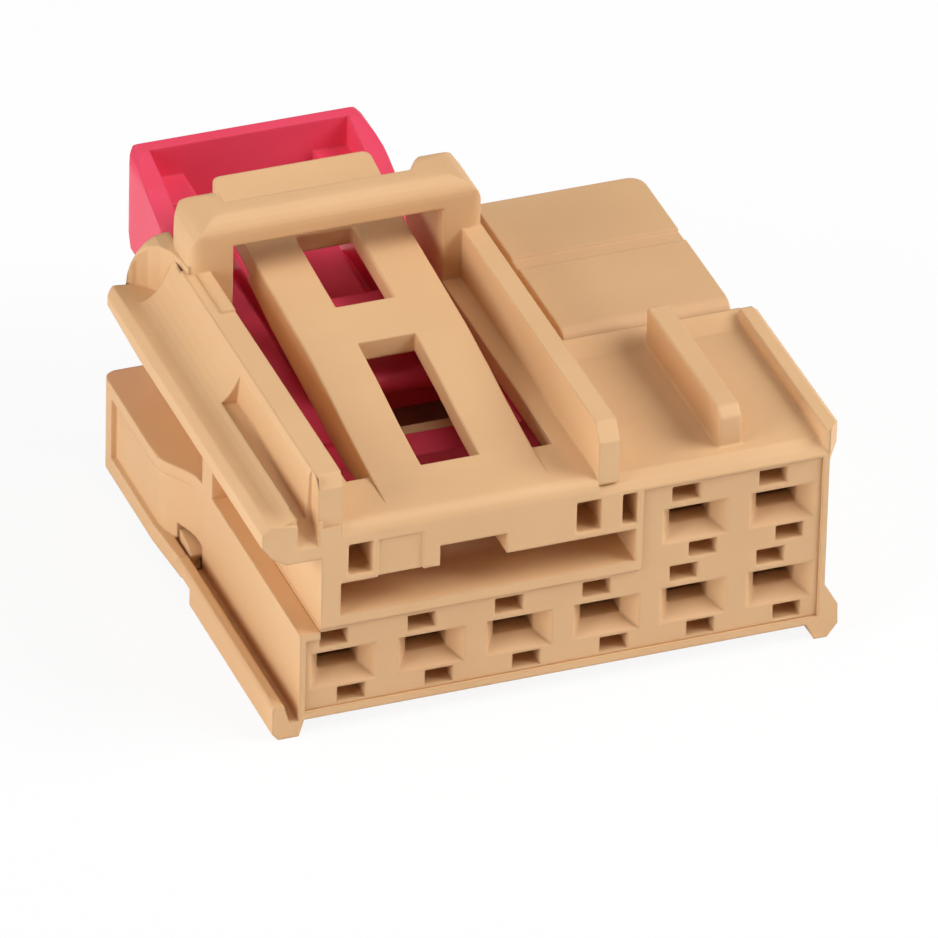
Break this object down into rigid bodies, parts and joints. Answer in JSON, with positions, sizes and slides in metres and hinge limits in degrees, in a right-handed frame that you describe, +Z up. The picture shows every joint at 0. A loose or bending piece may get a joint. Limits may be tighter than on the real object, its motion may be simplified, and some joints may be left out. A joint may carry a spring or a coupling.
{
  "type": "wire to board connector housing",
  "caption": "Plastic wire to board connector housing with a terminal carrier, a sprung latch arm under a guard bridge and a pull-out slide lock",
  "frame": {"origin": "On the surface the connector stands on, under the middle of its bounding box, with the slide lock pulled out", "axes": "+X to the right seen from the mating side, +Y from the mating face to the wire side, +Z up; metres"},
  "size_m": [0.0332, 0.0374, 0.0192],
  "materials": {
    "shell_plastic": "fine satin moulding",
    "carrier_plastic": "fine satin moulding",
    "lock_plastic": "smooth translucent-looking moulding"
  },
  "bodies": {
    "housing": {"outer_housing": "shell_plastic", "contact_carrier": "carrier_plastic"},
    "lock": {"slide_lock": "lock_plastic"}
  },
  "joints": [
    {"name": "lock_slide", "type": "slide", "parent": "housing", "child": "lock", "axis": [0, 1, 0], "range_m": [-0.0035, 0]}
  ]
}
